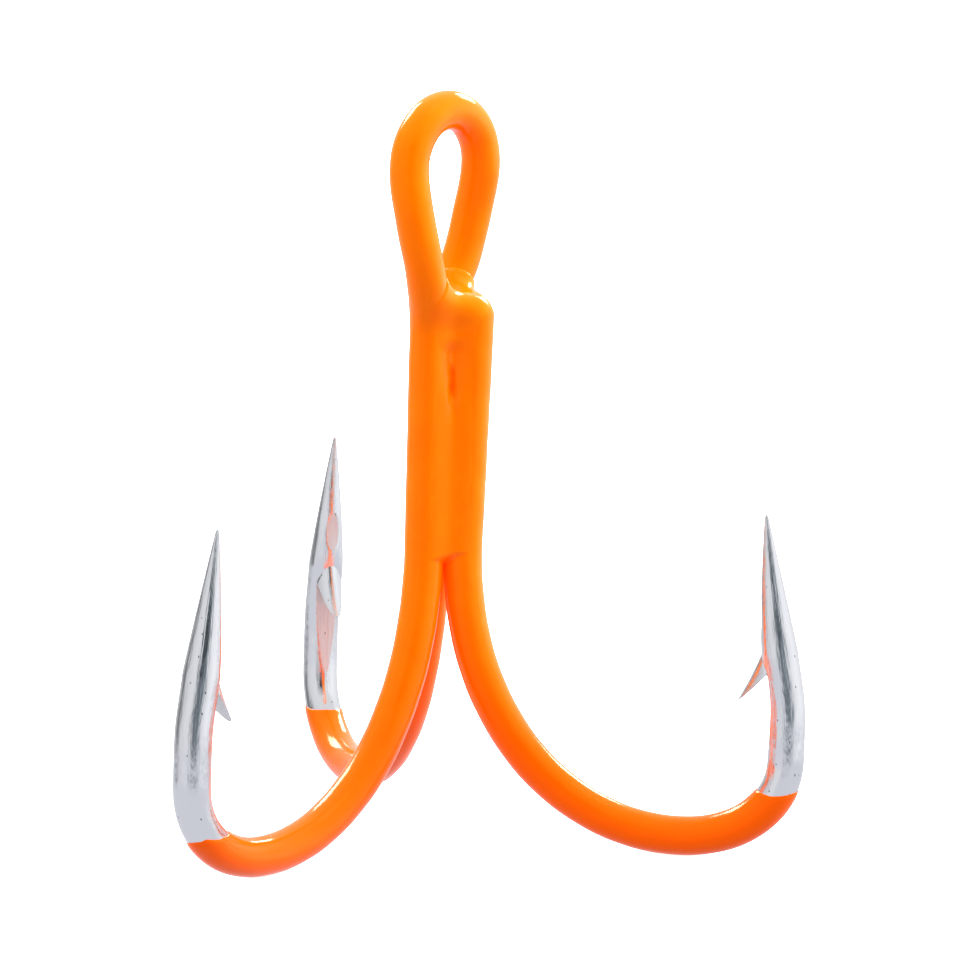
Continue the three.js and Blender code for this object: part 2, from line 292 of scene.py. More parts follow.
def mesh_piece(name, grid, wrap_rows=False, coordinates=None, cut_face=None):
    """A closed mesh from a grid of points whose columns wrap round. Its rows wrap too, or end in fans. Its
    volume, the sum of a triple product over its faces, is below nought if it came out inside out."""
    rows, columns = grid.shape[:2]
    index = np.arange(rows * columns).reshape(rows, columns)
    ahead = np.roll(index, -1, axis=1)
    if wrap_rows:
        a, b, c, d = index, ahead, np.roll(ahead, -1, axis=0), np.roll(index, -1, axis=0)
    else:
        a, b, c, d = index[:-1], ahead[:-1], ahead[1:], index[1:]
    quads = np.stack([a, b, c, d], -1).reshape(-1, 4)
    points = grid.reshape(-1, 3)
    fans = np.zeros((0, 3), int)
    if not wrap_rows:
        points = np.concatenate([points, grid[0].mean(0)[None], grid[-1].mean(0)[None]])
        first, last = rows * columns, rows * columns + 1
        start = np.stack([np.full(columns, first), ahead[0], index[0]], -1)
        end = np.stack([np.full(columns, last), index[-1], ahead[-1]], -1)
        fans = np.concatenate([start, end])
    mesh = bpy.data.meshes.new(name)
    mesh.vertices.add(len(points))
    mesh.vertices.foreach_set("co", (points * MM).ravel().astype(np.float32))
    corners = np.concatenate([quads.ravel(), fans.ravel()])
    sizes = np.concatenate([np.full(len(quads), 4), np.full(len(fans), 3)])
    mesh.loops.add(len(corners))
    mesh.loops.foreach_set("vertex_index", corners.astype(np.int32))
    mesh.polygons.add(len(sizes))
    mesh.polygons.foreach_set("loop_start", (np.cumsum(sizes) - sizes).astype(np.int32))
    mesh.polygons.foreach_set("use_smooth", np.ones(len(sizes), bool))
    mesh.update(calc_edges=True)
    if coordinates is not None:
        pad = len(points) - coordinates.shape[0] * coordinates.shape[1]
        flat = coordinates.reshape(-1, 3)
        if pad:
            flat = np.concatenate([flat, coordinates[0].mean(0)[None], coordinates[-1].mean(0)[None]])
        write_attribute(mesh, "wire_place", "FLOAT_VECTOR", "vector", flat)
    if cut_face is not None:
        flat = np.zeros(len(points))
        flat[: cut_face.size] = cut_face.ravel()
        write_attribute(mesh, "cut_face", "FLOAT", "value", flat)
    piece = bpy.data.objects.new(name, mesh)
    bpy.context.scene.collection.objects.link(piece)
    p, q, r, s = (points[quads[:, k]] for k in range(4))
    volume = np.einsum("ij,ij->i", p, np.cross(q, r)).sum() + np.einsum("ij,ij->i", p, np.cross(r, s)).sum()
    if volume < 0:
        mesh.flip_normals()
    print(f"{name}: {len(sizes)} faces, about {abs(volume) / 6:.0f} cubic mm")
    return piece


def smooth(value):
    """Eases a value from 0 to 1: 3 x squared less 2 x cubed, with x held between 0 and 1."""
    x = np.clip(value, 0, 1)
    return x * x * (3 - 2 * x)


# %% [markdown]
# ## Bare steel
# The wire is round and full until the last nine millimetres, where it is ground to a needle. On the inner
# side of each leg, the side that faces the shank, there are two marks of the maker: a long shallow slice
# where the barb was cut up, and above it a small leaf-shaped face from sharpening. Both are flats, so
# they are made by holding the section back to a plane, whose depth changes along the wire.

# %% Wires with their points, slices and ground faces
SLICE_TOP_Z, SLICE_FOOT_Z, SLICE_DEPTH = -31.2, -37.6, 0.36
LEAF_TOP_Z, LEAF_FOOT_Z, LEAF_DEPTH = -26.5, -29.0, 0.1
STEEL_SIDES = 88
FINE_RINGS = 26  # mm from each tip that keep a ring every tenth of a millimetre
MARKED = 20  # mm from each tip within which the slice and the ground face lie


def near_tip(axes, s, tips):
    """For each distance: how far the nearest tip is, and which hook's tip it is."""
    away = np.array([np.abs(s - (axes.s[-1] if at_end else 0)) for _, at_end in tips])
    return away.min(0), np.array([name for name, _ in tips])[away.argmin(0)]


def steel_radius(away):
    """Full wire, then a ground taper that would end a little past the tip, and a small round end."""
    q = np.clip((away + POINT_BLUNT) / TAPER_LENGTH, 0, 1)
    ground = STEEL_RADIUS * (1 - (1 - q) ** TAPER_POWER)
    return ground * np.sqrt(1 - 0.97 * (1 - np.clip(away / 0.32, 0, 1)) ** 2)


def unrolled(radius, theta, where):
    """The place on a wire that a finish reads: its round section, and the distance along it."""
    return np.stack([radius * np.cos(theta) + 0 * where, radius * np.sin(theta) + 0 * where, where], -1)


def steel_grid(axes, tips, inward):
    """Rings along a wire. Each is a circle whose radius tapers near a tip, with its inward side held back
    to the plane of a slice or a ground face: inward part = the lesser of itself and radius less depth."""
    total = axes.s[-1]
    s = np.arange(0.1, total - 0.09, 0.1)
    s = s[(near_tip(axes, s, tips)[0] < FINE_RINGS) | (np.arange(len(s)) % 5 == 0)]
    ends = np.array([0, 0.01, 0.03, 0.06])
    s = np.concatenate([ends, s, total - ends[::-1]])
    away, hook = near_tip(axes, s, tips)
    radius = steel_radius(away)[:, None]
    theta = np.linspace(0, 2 * math.pi, STEEL_SIDES, endpoint=False)
    where = np.repeat(s[:, None], STEEL_SIDES, 1)
    z = np.interp(s, axes.s, axes.line[:, 2]) + np.array([BARB_DROP[name] for name in hook])
    climb = (z - SLICE_FOOT_Z) / (SLICE_TOP_Z - SLICE_FOOT_Z)
    in_slice = (z < SLICE_TOP_Z + 0.2) & (z > SLICE_FOOT_Z)
    slice_share = np.clip(np.where(in_slice, climb, 0), 0, 1) ** 1.1 * smooth((SLICE_TOP_Z - z) / 0.3 + 0.7)
    leaf_middle, leaf_half = (LEAF_TOP_Z + LEAF_FOOT_Z) / 2, (LEAF_TOP_Z - LEAF_FOOT_Z) / 2
    leaf_share = np.clip(1 - ((z - leaf_middle) / leaf_half) ** 2, 0, 1)
    depth = np.where(away < MARKED, SLICE_DEPTH * slice_share + LEAF_DEPTH * leaf_share, 0)[:, None]
    level_part = radius * np.cos(theta)
    side = inward(where)
    facing = radius * np.sin(theta) * side
    cut_face = smooth((facing - (radius - depth)) / 0.02) * (depth > 0.004)
    facing = np.minimum(facing, radius - depth)
    wire_place = unrolled(STEEL_RADIUS, theta, where)
    return axes.surface(where, level_part, facing * side), wire_place, cut_face


def inward_of(axes):
    """Plus or minus one at each distance: which way along the third axis the shank lies."""
    radial = axes.line * [1, 1, 0] - SHANK
    sign = -np.sign((radial * axes.third).sum(1))
    return lambda where: np.where(np.interp(where, axes.s, sign) < 0, -1.0, 1.0)


grid, wire_place, cut_face = steel_grid(
    double_wire_axes, [("front", False), ("rear", True)], inward_of(double_wire_axes)
)
double_wire = mesh_piece("double_wire", grid, coordinates=wire_place, cut_face=cut_face)
grid, wire_place, cut_face = steel_grid(single_wire_axes, [("single", False)], inward_of(single_wire_axes))
single_wire = mesh_piece("single_wire", grid, coordinates=wire_place, cut_face=cut_face)

# %% [markdown]
# ## Barbs
# A barb is a sliver of the wire's own skin, sliced from below and bent out. So it is wide and thick at its
# root, round on the side that was the wire's surface, flat on the side that was cut, and thin at its tip. A
# lens-shaped section is carried from the tip to the root, and ends buried inside the leg.

# %% One barb for each hook
BARB_ROOT_Z = -30.1
BARB_TIP = (18.84, -33.3)
BARB_HALF_WIDTH = 0.82


def leg_inside(z):
    """Reach of the leg's inner surface at a height on the point leg."""
    leg = profile[: len(profile) // 3]
    return np.interp(z, leg[::-1, 1], leg[::-1, 0]) - STEEL_RADIUS


def barb(hook, bearing):
    """Sections from tip to root: across it runs cosine times half width, and its back rises by sine
    squared times thickness, so that the back is an arc over a flat cut face."""
    t = np.concatenate([[0, 0.01, 0.03], np.linspace(0.06, 1.25, 60)])[:, None]
    phi = np.linspace(0, 2 * math.pi, 48, endpoint=False)[None]
    root_z = BARB_ROOT_Z - BARB_DROP[hook]
    tip = np.array([BARB_TIP[0], BARB_TIP[1] - BARB_DROP[hook]])
    upper_root = np.array([leg_inside(root_z) + 0.02, root_z])
    lower_root = np.array([leg_inside(root_z - 1.3) + 0.12, root_z - 1.3])
    upper = tip + (upper_root - tip) * t + np.array([0.10, 0.04]) * np.sin(np.pi * np.clip(t, 0, 1))
    lower = tip + (lower_root - tip) * t + np.array([0.04, -0.02]) * np.sin(np.pi * np.clip(t, 0, 1))
    half = BARB_HALF_WIDTH * np.clip(t, 0, 1) ** 0.45 * (1 - 0.25 * np.clip(t - 1, 0, 1)) + 0.01
    back = np.where(np.sin(phi) > 0, np.sin(phi) ** 2, -0.05 * np.sin(phi) ** 2)
    flat = lower[:, None, :] + (upper - lower)[:, None, :] * back[..., None]
    across = (half * np.cos(phi))[..., None] * crosswise(bearing)
    grid = place(flat[..., 0], bearing, flat[..., 1]) + across
    spot = np.stack([0 * t + np.cos(phi), 0 * t + np.sin(phi), 3 * t + 0 * phi], -1)
    return mesh_piece(f"{hook}_barb", grid, coordinates=spot, cut_face=0.55 * (np.sin(phi) < 0) + 0 * t)


front_barb = barb("front", FRONT)
rear_barb = barb("rear", REAR)
single_barb = barb("single", SINGLE)

# %% [markdown]
# ## The paint film
# Paint is a skin of real thickness, seven hundredths of a millimetre, and its edge on each leg shows as a
# step. Its outside runs from one edge to the other and its inside runs back, so the grid wraps both ways
# and the skin is closed with no caps. Dipped paint stops at a level line, not square to the wire, so each
# angle round the wire gets its own stopping distance, with a few small sags and nicks added.

# %% Noise for hand-made edges, and the film
def ripple(angle, seed, size):
    """A smooth wavy number for each angle: a few sines of whole-number frequency with seeded phases."""
    rng = np.random.default_rng(seed)
    phases = rng.uniform(0, 2 * math.pi, 6)
    weights = rng.uniform(0.4, 1, 6) / np.array([1, 1.6, 2.4, 3.2, 4.5, 6])
    return size * sum(w * np.sin(k * angle + p) for k, w, p in zip((1, 2, 3, 5, 8, 13), weights, phases))


def edge_offsets(axes, start, theta, seed, size, slant):
    """How far past the middle of the edge the paint runs at each angle: the amount that makes the edge
    level, a slant given along both crosswise axes, and a ripple."""
    at = np.full(len(theta), start)
    up_level = axes.read(axes.level, at)[:, 2] * np.cos(theta)
    up_third = axes.read(axes.third, at)[:, 2] * np.sin(theta)
    climb = axes.read(axes.direction, at)[:, 2]
    tilt = slant[0] * np.cos(theta) + slant[1] * np.sin(theta)
    return -PAINT_RADIUS * (up_level + up_third) / climb + tilt + ripple(theta, seed, size)


def distance_at(axes, z, from_end):
    """Distance along a wire at which the leg next to a tip comes down to a height."""
    s = axes.s[-1] - axes.s[::-1] if from_end else axes.s
    heights = axes.line[::-1, 2] if from_end else axes.line[:, 2]
    first = np.argmax(heights < z)
    return axes.s[-1] - s[first] if from_end else s[first]


def film_thickness(distance, full):
    """Paint rises from a thin edge to its full thickness like one less a falling exponential."""
    return full * (1 - np.exp(-distance / 0.1)) + 0.004


def level_end(local, reach=1.5):
    """How much of an edge's offset still moves a ring: a bell that fades with its distance from the edge."""
    return np.exp(-((local / reach) ** 2))[:, None]


def paint_film(name, axes, start_edge, end_edge=None, sides=64, step=0.24):
    """The outside rings from one edge to the other, then the inside rings back again. A wire with no second
    edge ends in a round end, where the rings shrink by the cosine of a rise and lift by its sine."""
    theta = np.linspace(0, 2 * math.pi, sides, endpoint=False)
    start, *start_look = start_edge
    last, *end_look = end_edge or (axes.s[-1],)
    fine = np.array([0, 0.02, 0.05, 0.09, 0.14, 0.2, 0.28, 0.38, 0.5])
    middle = np.linspace(0.7, last - start - (0.7 if end_edge else 0), int((last - start) / step))
    local = np.concatenate([fine, middle] + ([last - start - fine[::-1]] if end_edge else []))
    where = start + np.repeat(local[:, None], sides, 1)
    where = where + edge_offsets(axes, start, theta, *start_look) * level_end(local)
    distance = np.repeat(local[:, None], sides, 1)
    if end_edge:
        back = (last - start) - local
        where = where + edge_offsets(axes, last, theta, *end_look) * level_end(back)
        distance = np.minimum(distance, np.repeat(back[:, None], sides, 1))
    outer = PAINT_INNER_RADIUS + film_thickness(distance, PAINT_RADIUS - PAINT_INNER_RADIUS)
    wave = 0.006 * np.sin(where * 0.9 + 2 * np.sin(theta))
    wave = wave + 0.005 * np.sin(where * 2.3 + 3 * np.cos(theta + 1))
    outer = outer + wave * np.clip(distance, 0, 1)
    inner = np.full_like(outer, PAINT_INNER_RADIUS)
    if not end_edge:
        rise = np.radians(np.linspace(4, 90, 24))[:, None]
        top = np.full((len(rise), sides), last)
        where = np.concatenate([where, top])
        outer = np.concatenate([outer, PAINT_RADIUS * np.cos(rise) + 0 * theta])
        inner = np.concatenate([inner, PAINT_INNER_RADIUS * np.cos(rise) + 0 * theta])
        lift_out = np.concatenate([0 * local, PAINT_RADIUS * np.sin(rise[:, 0])])
        lift_in = np.concatenate([0 * local, PAINT_INNER_RADIUS * np.sin(rise[:, 0])])
    outside, inside = (axes.surface(where, r * np.cos(theta), r * np.sin(theta)) for r in (outer, inner))
    if not end_edge:
        outside += lift_out[:, None, None] * axes.direction[-1]
        inside += lift_in[:, None, None] * axes.direction[-1]
    grid = np.concatenate([outside, inside[::-1]])
    wire_place = unrolled(PAINT_RADIUS, theta, where)
    wire_place = np.concatenate([wire_place, wire_place[::-1]])
    return mesh_piece(name, grid, wrap_rows=True, coordinates=wire_place)


# Each edge: its distance along the wire, the ripple's seed and size, and its slant on the two axes.
front_edge = (distance_at(double_wire_axes, PAINT_END_Z["front"], False), 5, 0.13, (-0.3, 0.24))
rear_edge = (distance_at(double_wire_axes, PAINT_END_Z["rear"], True), 9, 0.05, (0, 0))
single_edge = (distance_at(single_wire_axes, PAINT_END_Z["single"], False), 3, 0.05, (0, 0))
double_paint = paint_film("double_wire_paint", double_wire_axes, front_edge, rear_edge)
single_paint = paint_film("single_wire_paint", single_wire_axes, single_edge)

# %% [markdown]
# ## The filled grooves
# Between the shanks, braze and paint fill the three grooves almost flat, end at the bottom in a small lip,
# and at the top make a saddle between the eye's legs and the third wire's round end. One skin does all
# of this. A field gives the distance to each wire's surface, and two distances are blended where they
# are close, which is what surface tension does in a fillet. Rays from the shank's axis then find where the
# field is nought, all of them at once, by halving. The skin lies just under the wires' own paint, so that
# only the filled part shows.

# %% The field and the skin of the fill
FILL_UNDER = 0.02
FILL_BOTTOM_Z, FILL_TOP_Z = LIP_Z + 1.3, -11.4
FILL_REACH = 3.6
FULL_BLEND = 2.05
BARE_BLEND = 0.25
TOP_BLEND = 3.3
CORE_RADIUS = 0.66


def distance_to(points, line):
    """Least distance from each point to a line: the nearest spot on each straight step, then the least."""
    best = np.full(points.shape[:-1], np.inf)
    for a, b in zip(line[:-1], line[1:]):
        step = b - a
        t = np.clip(((points - a) @ step) / (step @ step), 0, 1)
        best = np.minimum(best, np.linalg.norm(points - a - t[..., None] * step, axis=-1))
    return best


def blended(a, b, size):
    """The lesser of two distances, lowered where they are nearly equal, by a parabola of the given size."""
    closeness = np.clip(size - np.abs(a - b), 0, None) / size
    return np.minimum(a, b) - closeness**2 * size / 4


def near_shank(name):
    """The stretch of a wire's line by the shank, for the field. Its points are spaced by how much it bends,
    so that a straight stretch has few."""
    top = np.argmax(double_line[:, 2])
    line = {"front": double_line[:top], "rear": double_line[top:], "single": single_line}[name]
    line = line[(line[:, 2] > -32) & (line[:, 2] < -4)]
    direction = np.gradient(line, axis=0)
    direction /= np.linalg.norm(direction, axis=1)[:, None]
    bend = np.linalg.norm(np.diff(direction, axis=0), axis=1)
    station = np.concatenate([[0], np.cumsum(bend + 0.0012)])
    marks = np.linspace(0, station[-1], int(station[-1] / 0.09) + 2)
    return np.stack([np.interp(marks, station, line[:, k]) for k in range(3)], -1)


stretches = [near_shank(name) for name in ("front", "single", "rear")]


def blend_size(z, lip):
    """Blend sizes by height: bare below the lip, full above it, larger again where the eye's legs part."""
    rising = smooth((z - lip) / 0.8)
    size = BARE_BLEND + (FULL_BLEND - BARE_BLEND) * rising
    return size + (TOP_BLEND - FULL_BLEND) * smooth((z + 12.2) / 2.2)


def dimple(points):
    """Where the fill sank in the front groove: a shallow arch above, a sharp crease, and a fading tail."""
    groove = math.radians((FRONT + SINGLE) / 2)
    aside = (points - SHANK) @ np.array([-math.sin(groove), math.cos(groove), 0])
    ahead = (points - SHANK) @ np.array([math.cos(groove), math.sin(groove), 0])
    z = points[..., 2]
    arch = smooth((-12.5 - z) / 1.0) * (1 - smooth((-14.2 - z) / 2.6))
    crease = smooth((-14.0 - z) / 0.8) * (1 - smooth((-15.2 - z) / 1.7))
    tail = smooth((-15.0 - z) / 1.0) * (1 - smooth((-15.8 - z) / 2.6))
    sunk = 0.15 * arch * np.exp(-((aside / 0.75) ** 2))
    sunk = sunk + 0.10 * crease * np.exp(-((aside / 0.17) ** 2))
    sunk = sunk + 0.12 * tail * np.exp(-((aside / 0.32) ** 2))
    return sunk * (ahead > 0)


def fill_field(points):
    """Less than nought inside the filled shank."""
    front, single, rear = (distance_to(points, line) - PAINT_RADIUS for line in stretches)
    z = points[..., 2]
    across = (points - SHANK) @ np.array([math.cos(math.radians(SINGLE)), math.sin(math.radians(SINGLE)), 0])
    front_lip = LIP_Z + 0.28 * np.clip(across, -1.5, 1.5)
    pairs = [
        blended(front, single, blend_size(z, front_lip)) + dimple(points),
        blended(single, rear, blend_size(z, LIP_Z + 0.3)),
        blended(rear, front, blend_size(z, LIP_Z - 0.2)),
    ]
    core = np.linalg.norm((points - SHANK)[..., :2], axis=-1) - CORE_RADIUS
    core = np.maximum(core, np.maximum(LIP_Z + 0.5 - z, z - FILL_TOP_Z - 0.2))
    return np.minimum(np.minimum.reduce(pairs), core) + FILL_UNDER


def fill_skin(sides=240, bottom_rows=56, side_rows=190, top_rows=76):
    """Rays: from the lowest centre they swing from straight down to level, then leave level from each
    height of the axis, then from the highest centre swing from level to straight up."""
    theta = np.linspace(0, 2 * math.pi, sides, endpoint=False)
    swing_low = np.linspace(-math.pi / 2 + 0.02, 0, bottom_rows, endpoint=False)
    swing_high = np.linspace(0, math.pi / 2 - 0.02, top_rows)
    heights = np.linspace(FILL_BOTTOM_Z, FILL_TOP_Z, side_rows, endpoint=False)
    z0 = np.concatenate([np.full(bottom_rows, FILL_BOTTOM_Z), heights, np.full(top_rows, FILL_TOP_Z)])
    rise = np.concatenate([swing_low, np.zeros(side_rows), swing_high])
    level, climb = np.cos(rise)[:, None], np.sin(rise)[:, None]
    ray = np.stack([level * np.cos(theta), level * np.sin(theta), climb + 0 * theta], -1)
    start = SHANK + np.stack([0 * z0, 0 * z0, z0], -1)
    inside = np.full(ray.shape[:2], 0.05)
    march = np.full(ray.shape[:2], 0.05)
    open_ray = np.ones(ray.shape[:2], bool)
    for _ in range(22):
        value = fill_field(start[:, None] + march[..., None] * ray)
        open_ray &= value < 0
        inside = np.where(open_ray, march, inside)
        march = np.where(open_ray, march + 0.15, march)
    outside = np.where(open_ray, inside, inside + 0.15)
    for _ in range(12):
        middle = (inside + outside) / 2
        value = fill_field(start[:, None] + middle[..., None] * ray)
        inside = np.where(value < 0, middle, inside)
        outside = np.where(value < 0, outside, middle)
    reach = np.minimum(inside, FILL_REACH)
    return start[:, None] + reach[..., None] * ray


shank_fill = mesh_piece("shank_fill", fill_skin())

# %% [markdown]
# ## Finishes
# Two finishes make this hook: a gloss fluorescent paint and bright tinned steel. Fluorescent paint gives
# back more red light than falls on it; here that is a steady red glow of its own, painted light that keeps
# the paint bright red in the shade. Both finishes take their pattern from the place on the wire, an
# attribute that holds the spot round the wire and the distance along it, so that draw marks run lengthwise
# through every bend.

# %% Node helpers, and a shared group of fine flaws
def node(tree, kind, **values):
    """Adds a node, sets its inputs by name and its properties, and returns it."""
    made = tree.nodes.new(kind)
    for key, value in values.items():
        name = key.replace("_", " ")
        if name in made.inputs:
            made.inputs[name].default_value = value
        else:
            setattr(made, key, value)
    return made


def flaw_group():
    """A vector in; a mask of sparse specks out, and a slow change out. Specks are the cores of cells."""
    group = bpy.data.node_groups.new("fine_flaws", "ShaderNodeTree")
    group.interface.new_socket("Place", in_out="INPUT", socket_type="NodeSocketVector")
    group.interface.new_socket("Speck Scale", in_out="INPUT", socket_type="NodeSocketFloat")
    group.interface.new_socket("Speck Size", in_out="INPUT", socket_type="NodeSocketFloat")
    group.interface.new_socket("Specks", in_out="OUTPUT", socket_type="NodeSocketFloat")
    group.interface.new_socket("Slow", in_out="OUTPUT", socket_type="NodeSocketFloat")
    inlet = group.nodes.new("NodeGroupInput")
    outlet = group.nodes.new("NodeGroupOutput")
    cells = node(group, "ShaderNodeTexVoronoi", Randomness=1.0)
    chosen = node(group, "ShaderNodeMath", operation="GREATER_THAN")
    chosen.inputs[1].default_value = 0.8
    near = node(group, "ShaderNodeMath", operation="LESS_THAN")
    both = node(group, "ShaderNodeMath", operation="MULTIPLY")
    split = group.nodes.new("ShaderNodeSeparateColor")
    slow = node(group, "ShaderNodeTexNoise", Scale=0.55, Detail=2.0)
    link = group.links.new
    link(inlet.outputs["Place"], cells.inputs["Vector"])
    link(inlet.outputs["Speck Scale"], cells.inputs["Scale"])
    link(inlet.outputs["Place"], slow.inputs["Vector"])
    link(cells.outputs["Color"], split.inputs["Color"])
    link(split.outputs["Red"], chosen.inputs[0])
    link(cells.outputs["Distance"], near.inputs[0])
    link(inlet.outputs["Speck Size"], near.inputs[1])
    link(chosen.outputs["Value"], both.inputs[0])
    link(near.outputs["Value"], both.inputs[1])
    link(both.outputs["Value"], outlet.inputs["Specks"])
    link(slow.outputs["Fac"], outlet.inputs["Slow"])
    return group


fine_flaws = flaw_group()
print("fine flaws:", len(fine_flaws.nodes), "nodes")


def blank_material(name):
    """A new material, with its node tree and its one shader."""
    material = bpy.data.materials.new(name)
    material.use_nodes = True
    tree = material.node_tree
    return material, tree, tree.nodes["Principled BSDF"]


# %% [markdown]
# ### Gloss fluorescent paint
# The colour drifts slightly between a red orange and a yellow orange, as a dipped coat does where it is
# thinner. Low on the bends it turns a deeper red orange, painted shade for the bends' darker undersides. Fine
# waves in the film bend the reflections, and a few dust nibs stand up under the gloss.

# %% Paint
RED_ORANGE = (1.0, 0.205, 0.0, 1)
YELLOW_ORANGE = (1.0, 0.27, 0.0, 1)
# Painted shade: a deeper orange for the dim undersides of the bends, laid on by height.
LOW_BEND_SHADE_ORANGE = (1.0, 0.135, 0.0, 1)
SHADE_FROM_Z, SHADE_BY_Z = -27 * MM, -37 * MM


def orange_paint(name, from_attribute):
    """Gloss paint. Its pattern follows the wire's own attribute, in mm, or else the object's coordinates."""
    material, tree, shader = blank_material(name)
    link = tree.links.new
    if from_attribute:
        source = node(tree, "ShaderNodeAttribute", attribute_name="wire_place").outputs["Vector"]
    else:
        source = tree.nodes.new("ShaderNodeTexCoord").outputs["Object"]
    sizing = node(tree, "ShaderNodeVectorMath", operation="SCALE", Scale=1.0 if from_attribute else 1 / MM)
    link(source, sizing.inputs[0])
    flaws = node(tree, "ShaderNodeGroup", node_tree=fine_flaws, Speck_Scale=0.55, Speck_Size=0.05)
    link(sizing.outputs["Vector"], flaws.inputs["Place"])
    colour = node(tree, "ShaderNodeMix", data_type="RGBA", A=RED_ORANGE, B=YELLOW_ORANGE)
    link(flaws.outputs["Slow"], colour.inputs["Factor"])
    level = tree.nodes.new("ShaderNodeSeparateXYZ")
    link(tree.nodes.new("ShaderNodeTexCoord").outputs["Object"], level.inputs["Vector"])
    # Painted shade: the colour deepens from 27 to 37 mm below the eye, low on the bends.
    low_shade = node(tree, "ShaderNodeMapRange", From_Min=SHADE_FROM_Z, From_Max=SHADE_BY_Z)
    link(level.outputs["Z"], low_shade.inputs["Value"])
    shaded_colour = node(tree, "ShaderNodeMix", data_type="RGBA", B=LOW_BEND_SHADE_ORANGE)
    link(low_shade.outputs["Result"], shaded_colour.inputs["Factor"])
    link(colour.outputs["Result"], shaded_colour.inputs["A"])
    link(shaded_colour.outputs["Result"], shader.inputs["Base Color"])
    waves = node(tree, "ShaderNodeTexNoise", Scale=0.9, Detail=1.5)
    link(sizing.outputs["Vector"], waves.inputs["Vector"])
    peel = node(tree, "ShaderNodeTexNoise", Scale=5.0, Detail=2.0)
    link(sizing.outputs["Vector"], peel.inputs["Vector"])
    height = node(tree, "ShaderNodeMath", operation="MULTIPLY_ADD")
    height.inputs[1].default_value = 0.06
    link(peel.outputs["Fac"], height.inputs[0])
    link(waves.outputs["Fac"], height.inputs[2])
    nibs = node(tree, "ShaderNodeMath", operation="MULTIPLY_ADD")
    nibs.inputs[1].default_value = 0.35
    link(flaws.outputs["Specks"], nibs.inputs[0])
    link(height.outputs["Value"], nibs.inputs[2])
    bump = node(tree, "ShaderNodeBump", Strength=0.25, Distance=0.00008)
    link(nibs.outputs["Value"], bump.inputs["Height"])
    link(bump.outputs["Normal"], shader.inputs["Normal"])
    rough = node(tree, "ShaderNodeMapRange", To_Min=0.08, To_Max=0.18)
    link(flaws.outputs["Slow"], rough.inputs["Value"])
    link(rough.outputs["Result"], shader.inputs["Roughness"])
    shader.inputs["IOR"].default_value = 1.5
    shader.inputs["Specular Tint"].default_value = (1.0, 0.6, 0.08, 1)
    # Painted light: a steady red glow that keeps the paint bright red in the shade.
    shader.inputs["Emission Color"].default_value = (1.0, 0.05, 0.0, 1)
    shader.inputs["Emission Strength"].default_value = 0.4
    return material


wire_paint = orange_paint("gloss_orange_on_wire", True)
fill_paint = orange_paint("gloss_orange_on_fill", False)
print("paint finishes:", wire_paint.name, fill_paint.name)

# %% [markdown]
# ### Bright tinned steel
# Tin over drawn wire is almost a mirror, with faint lengthwise draw marks and small dark pits where the
# tin did not take. The marks are noise stretched along the wire. A face that was cut or ground has lost its
# polish, so it is rougher and less like a mirror there.

# %% Tinned steel
TIN = (0.66, 0.675, 0.70, 1)
PIT = (0.12, 0.13, 0.15, 1)


def tinned_steel():
    """Bright metal whose draw marks, dents and pits follow the wire's own attribute."""
    material, tree, shader = blank_material("bright_tinned_steel")
    link = tree.links.new
    source = node(tree, "ShaderNodeAttribute", attribute_name="wire_place").outputs["Vector"]
    stretch = node(tree, "ShaderNodeMapping", Scale=(7.0, 7.0, 0.35))
    link(source, stretch.inputs["Vector"])
    draw = node(tree, "ShaderNodeTexNoise", Scale=1.0, Detail=4.0)
    link(stretch.outputs["Vector"], draw.inputs["Vector"])
    dents = node(tree, "ShaderNodeTexNoise", Scale=1.0, Detail=3.0)
    loose = node(tree, "ShaderNodeMapping", Scale=(1.3, 1.3, 0.45))
    link(source, loose.inputs["Vector"])
    link(loose.outputs["Vector"], dents.inputs["Vector"])
    cut = node(tree, "ShaderNodeAttribute", attribute_name="cut_face").outputs["Fac"]
    flaws = node(tree, "ShaderNodeGroup", node_tree=fine_flaws, Speck_Scale=3.0, Speck_Size=0.14)
    squeeze = node(tree, "ShaderNodeMapping", Scale=(1.3, 1.3, 0.6))
    link(source, squeeze.inputs["Vector"])
    link(squeeze.outputs["Vector"], flaws.inputs["Place"])
    colour = node(tree, "ShaderNodeMix", data_type="RGBA", A=TIN, B=PIT)
    link(flaws.outputs["Specks"], colour.inputs["Factor"])
    link(colour.outputs["Result"], shader.inputs["Base Color"])
    rough = node(tree, "ShaderNodeMapRange", To_Min=0.07, To_Max=0.2)
    link(draw.outputs["Fac"], rough.inputs["Value"])
    rougher = node(tree, "ShaderNodeMath", operation="MULTIPLY_ADD")
    rougher.inputs[1].default_value = 0.25
    link(cut, rougher.inputs[0])
    link(rough.outputs["Result"], rougher.inputs[2])
    link(rougher.outputs["Value"], shader.inputs["Roughness"])
    paler = node(tree, "ShaderNodeMapRange", To_Min=1.0, To_Max=0.45)
    link(cut, paler.inputs["Value"])
    link(paler.outputs["Result"], shader.inputs["Metallic"])
    height = node(tree, "ShaderNodeMath", operation="MULTIPLY_ADD")
    height.inputs[1].default_value = 0.35
    link(draw.outputs["Fac"], height.inputs[0])
    link(dents.outputs["Fac"], height.inputs[2])
    pitted = node(tree, "ShaderNodeMath", operation="MULTIPLY_ADD")
    pitted.inputs[1].default_value = -0.5
    link(flaws.outputs["Specks"], pitted.inputs[0])
    link(height.outputs["Value"], pitted.inputs[2])
    bump = node(tree, "ShaderNodeBump", Strength=0.5, Distance=0.00012)
    link(pitted.outputs["Value"], bump.inputs["Height"])
    link(bump.outputs["Normal"], shader.inputs["Normal"])
    return material


steel = tinned_steel()
print("steel finish:", steel.name)
